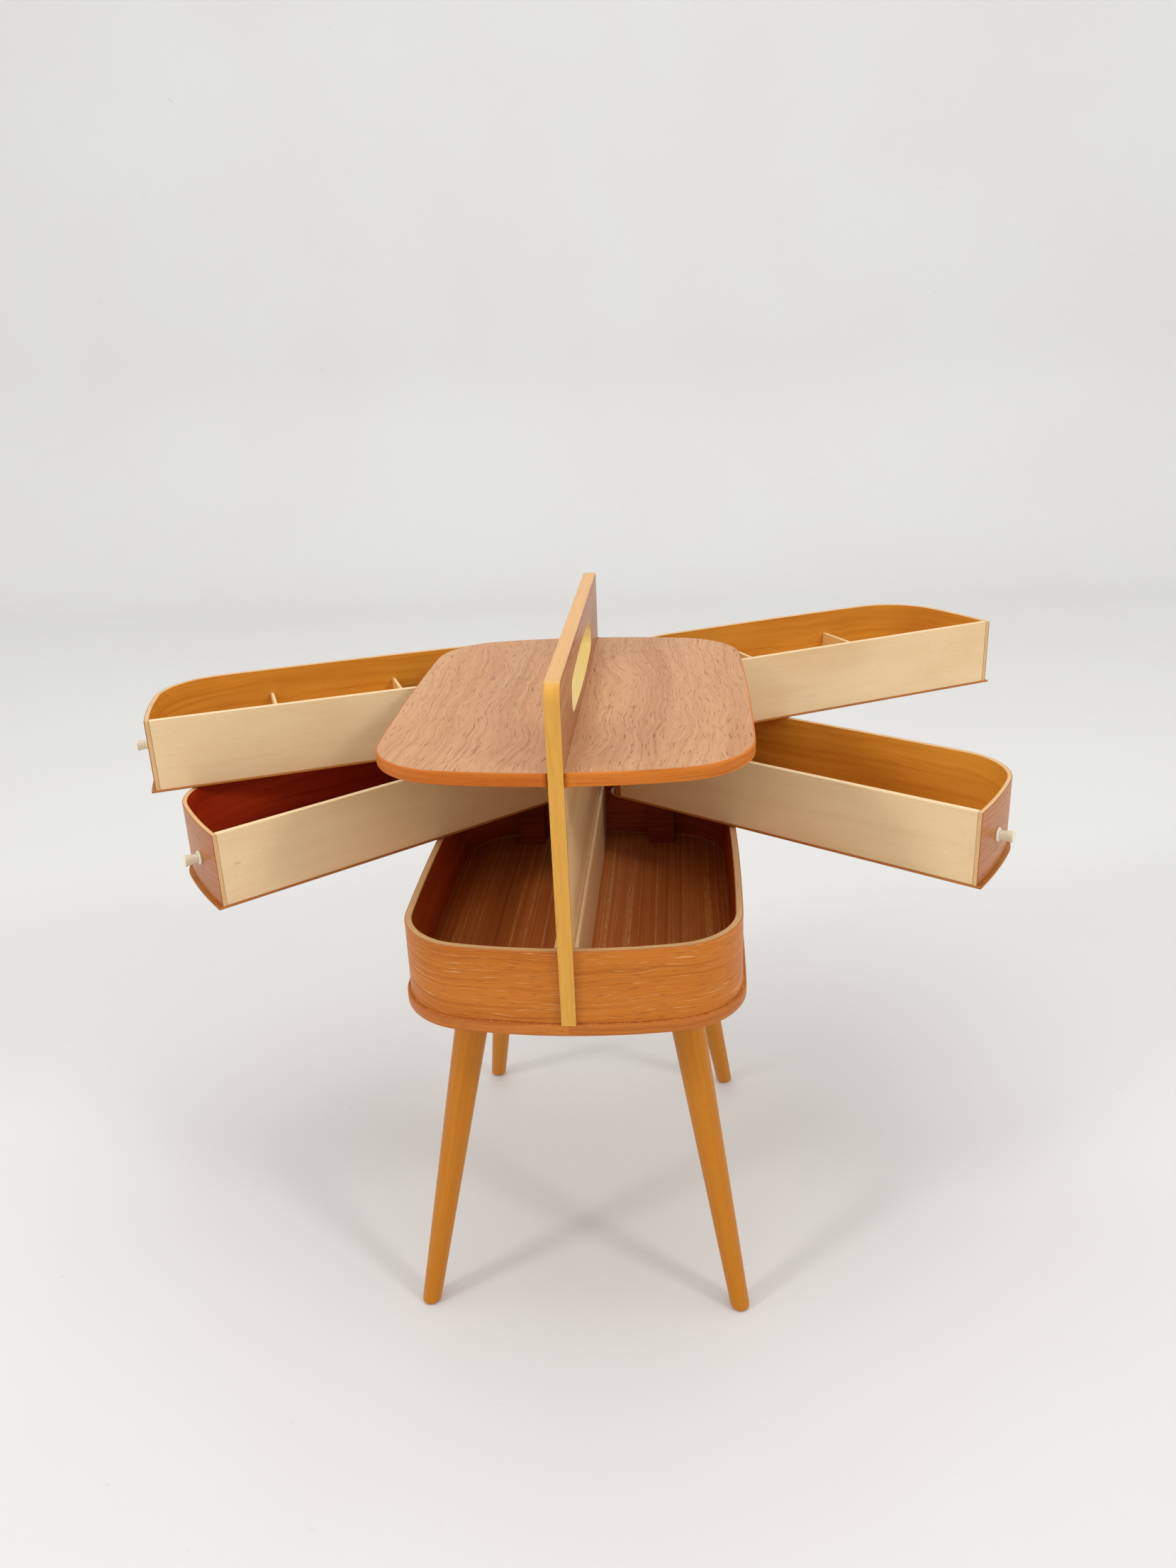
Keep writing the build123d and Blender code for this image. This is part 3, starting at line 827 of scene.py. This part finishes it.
# ------------------------------------------------------------------ base, rims and top
def base_and_top():
    right = BowedOutline(BASE_HIGH.x, BASE_HIGH.y, BASE_CORNER).path(0.0)
    loop = right + [(-x, y) for x, y in reversed(right[1:-1])]
    plate("base", "base_board", loop, BASE_LOW.z, BASE_HIGH.z, BASE_SOFT,
          ("base_floor", "base_edge", "underside"), SEEDS["base"])
    half = BowedOutline(TOP_HIGH.x, TOP_HALF_DEPTH, TOP_CORNER).path(BOARD_HALF)
    for seed, side in enumerate(SIDES, SEEDS["top"]):
        plate(f"top_{side}", f"top_board_{side}", half, TOP_LOW.z, TOP_HIGH.z, TOP_SOFT,
              ("teak_top", "top_edge", "underside"), seed, mirrored(side), cut_x=BOARD_HALF)


def base_rims():
    low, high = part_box("base_rim_right")
    outline = BowedOutline(BASE_HIGH.x - RIM_INSET, BASE_HIGH.y - RIM_INSET,
                           BASE_CORNER - RIM_INSET)
    for seed, side in enumerate(SIDES, SEEDS["rims"]):
        sweep(f"rim_{side}", f"base_rim_{side}", outline.path(BOARD_HALF), RIM_THICKNESS,
              high.z - low.z, RIM_SOFT, ("rim_outside", "rim_edge", "painted_shade_rim_inside"), seed,
              upright_place(low.z), matrix=mirrored(side))


def block(name, node, materials, seed):
    """A softened board that fills the box of an upright CAD node."""
    low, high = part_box(node)
    loop = rounded_rectangle(low.x, high.x, low.y, high.y, SOFT)
    plate(name, node, loop, low.z, high.z, SOFT, materials, seed)


def liners_and_posts():
    for seed, side in enumerate(SIDES, SEEDS["liners"]):
        block(f"liner_{side}", f"base_liner_{side}",
              ("blonde_edge", "liner_side", "liner_side"), seed)
        block(f"post_{side}", f"pivot_post_{side}", ("dark_block",) * 3, seed)


# ------------------------------------------------------------------ centre board
def board_path(inset):
    """The board's outline as (y, z), from the front foot over the top to the rear foot."""
    foot, top = BASE_HIGH.z, HANDLE_TOP - inset
    lean = math.atan2(BOARD_HIGH_DEPTH - BOARD_LOW_DEPTH, HANDLE_TOP - foot)
    low, high = BOARD_LOW_DEPTH - inset, BOARD_HIGH_DEPTH - inset
    points = [(-low, foot)]
    for end, radius, start, stop in (
        (-high, FRONT_CORNER - inset, math.pi + lean, 0.5 * math.pi),
        (high, REAR_CORNER - inset, 0.5 * math.pi, -lean),
    ):
        back = radius * (1 + math.sin(lean)) / math.cos(lean)
        centre = (end - math.copysign(back, end), top - radius)
        points += arc(centre, radius, start, stop, BOARD_CORNER_STEPS)
    points.append((low, foot))
    return points


def strip_paths():
    """The board's outline split where the top strip butts against the front and rear ones."""
    joint = BOARD_HIGH_DEPTH - STRIP_JOINT_SETBACK
    middle = HANDLE_TOP - FRONT_CORNER
    path = []
    for a, b in zip(board_path(0.0), board_path(0.0)[1:]):
        path.append(a)
        for at in (-joint, joint):
            if a[0] < at < b[0] and a[1] > middle:
                path.append((at, a[1] + (b[1] - a[1]) * (at - a[0]) / (b[0] - a[0])))
    path.append(board_path(0.0)[-1])
    return {
        "front": [p for p in path if p[0] < 0 and (p[0] <= -joint or p[1] <= middle)],
        "top": [p for p in path if abs(p[0]) <= joint and p[1] > middle],
        "rear": [p for p in path if p[0] > 0 and (p[0] >= joint or p[1] <= middle)],
    }


def edge_strips():
    """Solid lipping along the board's edge, with the face veneer running over its sides."""
    soft = STRIP_SOFT
    width = 2 * BOARD_HALF
    turns = reversed(quarter_turns(SOFT_STEPS))
    rounded = [(soft * (1 - math.sin(a)), soft * (1 - math.cos(a))) for a in turns]
    section = [(STRIP_DEPTH, 0.0)] + [(depth, across) for across, depth in rounded]
    section += [(depth, width - across) for depth, across in reversed(section)]
    veneered = {0, len(section) - 2, len(section) - 1}
    for name, path in strip_paths().items():
        outside = "top_strip" if name == "top" else "front_strip"
        piece = Piece(f"strip_{name}", (outside, "board_face"))
        rings = [
            piece.ring([(x - BOARD_HALF, p[0] + n.x * d, p[1] + n.y * d) for d, x in section])
            for p, n in zip(path, outward_normals(path, False))
        ]
        stations = stations_of(path)
        for i in range(len(rings) - 1):
            a, b = rings[i], rings[i + 1]
            for k in range(len(section)):
                n = (k + 1) % len(section)
                corners = (a[k], a[n], b[n], b[k])
                if k in veneered:
                    piece.face(corners, [(v.co.y, v.co.z) for v in corners], 1)
                    continue
                xa, xb = section[k][1], section[n][1]
                ua, ub = stations[i], stations[i + 1]
                piece.face(corners, ((ua, xa), (ua, xb), (ub, xb), (ub, xa)), 0)
        for ring in (rings[0], rings[-1]):
            piece.face(ring, [(v.co.y, v.co.x) for v in ring], 0, smooth=False)
        piece.finish(f"{name}_edge_strip")


def slot_path():
    """The hand slot as a closed anticlockwise loop in (y, z)."""
    low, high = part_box("handle_slot_lining")
    half_length, half_height = high.y, (high.z - low.z) / 2
    radius = bow_radius(half_length, SLOT_BOW)
    drop = radius - half_height
    corner_y = half_length - SLOT_CORNER
    corner_z = math.sqrt((radius - SLOT_CORNER) ** 2 - corner_y**2) - drop
    touch = math.atan2(corner_z + drop, corner_y)
    quarter = arc((corner_y, corner_z), SLOT_CORNER, 0.0, touch, SLOT_CORNER_STEPS)
    quarter += arc((0.0, -drop), radius, touch, 0.5 * math.pi, SLOT_BOW_STEPS)[1:]
    upper = quarter + [(-y, z) for y, z in reversed(quarter[:-1])]
    middle = (low.z + high.z) / 2
    return [(y, middle + z) for y, z in upper] + [(-y, middle - z) for y, z in upper]


def centre_board():
    """The board inside its strips, with the hand slot cut through it."""
    piece = Piece("board", ("board_face",))
    sides = []
    for x in (-BOARD_HALF, BOARD_HALF):
        paths = (board_path(STRIP_DEPTH), slot_path())
        rings = [piece.ring([(x, y, z) for y, z in path]) for path in paths]
        edges = [
            piece.bm.edges.new((ring[i - 1], ring[i])) for ring in rings for i in range(len(ring))
        ]
        filled = bmesh.ops.triangle_fill(piece.bm, edges=edges, use_beauty=True)
        for face in (item for item in filled["geom"] if isinstance(item, bmesh.types.BMFace)):
            for loop in face.loops:
                loop[piece.grain].uv = (loop.vert.co.y, loop.vert.co.z)
        sides.append(rings)
    for left, right in zip(*sides):
        for i in range(len(left)):
            corners = (left[i - 1], left[i], right[i], right[i - 1])
            piece.face(corners, [(v.co.y, v.co.z) for v in corners], smooth=False)
    piece.finish("centre_board")


def slot_lining():
    """The pale lining round the inside of the hand slot, as wide as the board."""
    def place(p, inward, distance, up):
        return up - BOARD_HALF, p[0] + inward.x * distance, p[1] + inward.y * distance

    sweep("slot_lining", "handle_slot_lining", slot_path(), LINING, 2 * BOARD_HALF,
          LINING_SOFT, ("pale_lining",) * 3, SEEDS["slot"], place, closed=True)


# ------------------------------------------------------------------ legs
def legs():
    """Tapered legs along leaning axes, cut level at the plate and rounded at the floor."""
    top_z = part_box("leg_plates")[0].z
    count = LEG_SPOKES
    levels = [(top_z, SOFT), (top_z - SOFT, 0.0)]
    levels += [
        (FOOT_ROUNDING + (top_z - FOOT_ROUNDING) * (1 - i / LEG_RINGS), 0.0)
        for i in range(1, LEG_RINGS)
    ]
    levels += [
        (FOOT_ROUNDING * (1 - math.sin(a)), FOOT_ROUNDING * (1 - math.cos(a)))
        for a in quarter_turns(PROFILE_STEPS)
    ]
    around = 2 * math.pi * LEG_TOP_RADIUS / count
    for seed, (name, foot) in enumerate(LEG_FEET.items(), SEEDS["legs"]):
        corner = [math.copysign(size, end) for size, end in zip(LEG_TOP, foot)]
        top = Vector((*corner, BASE_LOW.z))
        end = Vector((*foot, 0.0))
        down = (end - top).normalized()
        side = down.cross((0, 0, 1)).normalized()
        other = down.cross(side)
        spokes = [side * math.cos(a) + other * math.sin(a)
                  for a in (2 * math.pi * i / count for i in range(count))]
        piece = Piece(f"{name}_leg", ("leg_wood",), seed)
        rings = []
        for z, inset in levels:
            ring = []
            for out in spokes:
                a = top + out * (LEG_TOP_RADIUS - inset)
                b = end + out * (LEG_FOOT_RADIUS - inset)
                ring.append(a + (b - a) * ((z - a.z) / (b.z - a.z)))
            rings.append(piece.ring(ring))
        for (za, _), (zb, _), a, b in zip(levels, levels[1:], rings, rings[1:]):
            for i in range(count):
                n = (i + 1) % count
                here, there = i * around, (i + 1) * around
                grains = ((za, here), (zb, here), (zb, there), (za, there))
                piece.face((a[i], b[i], b[n], a[n]), grains)
        for ring in (rings[0], rings[-1]):
            piece.face(ring, [(v.co.x, v.co.y) for v in ring], 0, smooth=False)
        piece.finish(f"leg_{name}")


# ------------------------------------------------------------------ trays
def tray_matrix(side, level):
    """From a closed right-hand tray standing on z = 0 to this tray's open place."""
    joint = JOINTS[f"tray_{side}_{level}"]
    pivot = Vector((joint["pos_m"][0], joint["pos_m"][1], 0.0))
    closed = max(joint["range_deg"]) if side == "left" else min(joint["range_deg"])
    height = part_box(f"tray_{side}_{level}_bottom")[0].z
    turn = Matrix.Rotation(math.radians(-closed), 4, "Z")
    lift = Matrix.Translation((0, 0, height))
    return Matrix.Translation(pivot) @ turn @ Matrix.Translation(-pivot) @ lift @ mirrored(side)


def knob_matrix(outline):
    """Z runs out of the bent wall's front at the knob."""
    x = STRAIGHT_WALL_X + KNOB_FROM_WALL
    y = outline.front_y(x)
    out = Vector((x, y - outline.end_centre.y, 0.0)).normalized()
    up = Vector((0, 0, 1))
    turned = Matrix((up, out.cross(up), out)).transposed().to_4x4()
    turned.translation = (x, y, KNOB_HEIGHT)
    return turned


def rosette_profile():
    """A flat disc with a rounded rim and a shallow step round the stem."""
    soft, chamfer = ROSETTE_SOFT, THIN_SOFT
    shoulder = ROSETTE - ROSETTE_STEP
    centre = (ROSETTE_RADIUS - soft, ROSETTE - soft - ROSETTE_STEP)
    points = [(0.0, 0.0), (ROSETTE_RADIUS - chamfer, 0.0), (ROSETTE_RADIUS, chamfer)]
    points += arc(centre, soft, 0.0, 0.5 * math.pi, PROFILE_STEPS)
    wide, narrow = ROSETTE_STEP_RADII
    return points + [(wide, shoulder), (narrow, ROSETTE), (0.0, ROSETTE)]


def pull_profile():
    """A trumpet-shaped pull: narrow at the rosette, flaring to a soft-edged, dished end."""
    soft = KNOB_SOFT
    end = ROSETTE + KNOB_LENGTH
    points = [(0.0, ROSETTE)]
    for i in range(PULL_STEPS + 1):
        flare = (i / PULL_STEPS) ** KNOB_FLARE
        height = ROSETTE + (KNOB_LENGTH - soft) * i / PULL_STEPS
        points.append((KNOB_NECK + (KNOB_END - KNOB_NECK) * flare, height))
    points += arc((KNOB_END - soft, end - soft), soft, 0.0, 0.5 * math.pi, PROFILE_STEPS)[1:]
    return points + [(KNOB_END / 2, end - KNOB_DISH / 2), (0.0, end - KNOB_DISH)]


def tray(side, level, seed):
    """All the pieces of one tray. The lower left one's inside is painted darker and redder, as
    painted shade from the tray above it.
    """
    body = f"tray_{side}_{level}"
    inside_wood = "painted_shade_inside" if body == "tray_left_lower" else "amber_inside"
    matrix = tray_matrix(side, level)
    wall_low, wall_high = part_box(f"{body}_outer_wall")
    floor = wall_low.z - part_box(f"{body}_bottom")[0].z
    wall_top = floor + wall_high.z - wall_low.z
    outline = BowedOutline(TRAY_HALF_WIDTH, TRAY_HALF_DEPTH, BASE_CORNER)
    wall_end = TRAY_HALF_DEPTH - REAR_INNER_RADIUS

    # The bent wall stops where the straight wall's rear end begins.
    _, fillet_y = outline.fillet_centre(STRAIGHT_WALL_X, REAR_INNER_RADIUS)
    stop = math.pi - math.asin((wall_end - fillet_y) / REAR_INNER_RADIUS)
    sweep(f"{body}_bent_wall", f"{body}_outer_wall",
          outline.path(STRAIGHT_WALL_X, REAR_INNER_RADIUS, stop), BENT_WALL, wall_top - floor,
          SOFT, ("tray_outside", "wall_edge", inside_wood), seed, upright_place(floor),
          matrix=matrix)

    front = -TRAY_HALF_DEPTH + BENT_WALL + WALL_CLEARANCE
    inner_x = STRAIGHT_WALL_X + STRAIGHT_WALL
    loop = rounded_rectangle(STRAIGHT_WALL_X, inner_x, front, wall_end, STRAIGHT_WALL_SOFT)
    plate(f"{body}_straight_wall", f"{body}_inner_wall", loop, floor, wall_top, SOFT,
          ("blonde_edge", "blonde_ply", "blonde_edge"), seed + 1, matrix)

    grown = BowedOutline(TRAY_HALF_WIDTH + BOTTOM_OVERHANG, TRAY_HALF_DEPTH + BOTTOM_OVERHANG,
                         BASE_CORNER + BOTTOM_OVERHANG)
    loop = grown.path(STRAIGHT_WALL_X - BOTTOM_STRAIGHT_OVERHANG, REAR_INNER_RADIUS)
    plate(f"{body}_floor", f"{body}_bottom", loop, 0.0, floor, BOTTOM_SOFT,
          ("tray_floor", "tray_bottom_edge", "underside"), seed + 2, matrix)

    pivot_x = abs(JOINTS[body]["pos_m"][0])
    post_low, post_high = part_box("pivot_post_right")
    half_width = (post_high.x - post_low.x) / 2
    loop = rounded_rectangle(pivot_x - half_width, pivot_x + half_width,
                             post_low.y, post_high.y, SOFT)
    plate(f"{body}_block", f"{body}_pivot_block", loop, floor, wall_top, SOFT,
          ("dark_block",) * 3, seed + 3, matrix)

    if level == "upper":
        inside = BowedOutline(TRAY_HALF_WIDTH - BENT_WALL, TRAY_HALF_DEPTH - BENT_WALL,
                              BASE_CORNER - BENT_WALL)
        for name, distance in DIVIDER_PLACES.items():
            y = distance - TRAY_HALF_DEPTH
            reach = inside.side_x(abs(y) + DIVIDER / 2)
            loop = rounded_rectangle(inner_x, reach, y - DIVIDER / 2, y + DIVIDER / 2, THIN_SOFT)
            plate(f"{body}_partition_{name}", f"{body}_divider_{name}", loop, floor,
                  floor + DIVIDER_HEIGHT, SOFT, ("blonde_edge", "divider_side", "divider_side"),
                  seed + 4, matrix, along_x=True)

    knob = matrix @ knob_matrix(outline)
    lathe(f"{body}_rosette", f"{body}_knob_rosette", rosette_profile(), "ivory_plastic", knob)
    lathe(f"{body}_pull", f"{body}_knob", pull_profile(), "ivory_plastic", knob)


# ------------------------------------------------------------------ camera, floor and light
CAMERA_PLACE = (0.1001, -1.1102, 0.9016)
CAMERA_YAW = math.radians(-4.79)
CAMERA_PITCH = math.radians(20.79)
CAMERA_ROLL = math.radians(2.36)
CAMERA_LENS = 27.67
CAMERA_SENSOR = 36.0

FLOOR_HALF_WIDTH = 7.0
FLOOR_FRONT = -7.0
WALL_Y = 3.8
WALL_BEND = 0.8
WALL_HEIGHT = 5.0

LIGHT_TARGET = Vector((0, 0, 0.45))
# Each light's place, size in metres and power in watts.
LIGHTS = {
    "front_left": ((-4.2, -3.0, 4.0), 1.2, 78),
    "front_right": ((4.3, -2.85, 4.1), 1.2, 78),
    "overhead": ((0, 0.2, 3.6), 2.6, 28),
}
WORLD_COLOUR = (0.97, 0.985, 1.0, 1.0)
WORLD_STRENGTH = 0.84


def add_camera():
    """The camera, turned by its yaw and pitch and then rolled about its line of sight."""
    data = bpy.data.cameras.new("camera")
    data.lens = CAMERA_LENS
    data.sensor_width = CAMERA_SENSOR
    camera = bpy.data.objects.new("camera", data)
    bpy.context.scene.collection.objects.link(camera)
    forward = Vector((math.sin(CAMERA_YAW) * math.cos(CAMERA_PITCH),
                      math.cos(CAMERA_YAW) * math.cos(CAMERA_PITCH), -math.sin(CAMERA_PITCH)))
    right = Vector((math.cos(CAMERA_YAW), -math.sin(CAMERA_YAW), 0))
    down = forward.cross(right)
    turned = right * math.cos(CAMERA_ROLL) + down * math.sin(CAMERA_ROLL)
    lowered = down * math.cos(CAMERA_ROLL) - right * math.sin(CAMERA_ROLL)
    matrix = Matrix((turned, -lowered, -forward)).transposed().to_4x4()
    matrix.translation = CAMERA_PLACE
    camera.matrix_world = matrix
    bpy.context.scene.camera = camera


def add_floor():
    """A pale floor that curves up into a wall behind the object."""
    bend = arc((WALL_Y - WALL_BEND, WALL_BEND), WALL_BEND, -math.pi / 2, 0, END_STEPS)
    profile = [(FLOOR_FRONT, 0.0), *bend, (WALL_Y, WALL_HEIGHT)]
    bm = bmesh.new()
    rows = [
        [bm.verts.new((x, y, z)) for x in (-FLOOR_HALF_WIDTH, FLOOR_HALF_WIDTH)]
        for y, z in profile
    ]
    for a, b in zip(rows, rows[1:]):
        bm.faces.new((a[0], a[1], b[1], b[0])).smooth = True
    data = bpy.data.meshes.new("floor")
    bm.to_mesh(data)
    bm.free()
    data.materials.append(pale_floor())
    floor = bpy.data.objects.new("floor", data)
    bpy.context.scene.collection.objects.link(floor)


def add_light(name, place, size, watts):
    """A round area light that faces the object."""
    data = bpy.data.lights.new(name, "AREA")
    data.shape = "DISK"
    data.size = size
    data.energy = watts
    light = bpy.data.objects.new(name, data)
    light.location = place
    light.rotation_mode = "QUATERNION"
    light.rotation_quaternion = (LIGHT_TARGET - Vector(place)).to_track_quat("-Z", "Y")
    bpy.context.scene.collection.objects.link(light)


def add_lights():
    for name, (place, size, watts) in LIGHTS.items():
        add_light(name, place, size, watts)
    world = bpy.data.worlds.new("studio")
    world.use_nodes = True
    background = world.node_tree.nodes["Background"]
    background.inputs["Color"].default_value = WORLD_COLOUR
    background.inputs["Strength"].default_value = WORLD_STRENGTH
    bpy.context.scene.world = world
    bpy.context.scene.view_settings.view_transform = "Standard"


# ------------------------------------------------------------------ assembly
add_camera()
add_floor()
add_lights()
base_and_top()
base_rims()
liners_and_posts()
edge_strips()
centre_board()
slot_lining()
legs()
for tray_number, (tray_side, tray_level) in enumerate((s, v) for s in SIDES for v in LEVELS):
    tray(tray_side, tray_level, SEEDS["trays"] + SEEDS_PER_TRAY * tray_number)

# The hardware and dowels keep their CAD shapes.
for cad_node, cad_object in frame["nodes"].items():
    hardware_look = "dowel_wood" if cad_node == "top_dowels" else "steel"
    cad_object.data.materials.clear()
    cad_object.data.materials.append(MATERIALS[hardware_look])
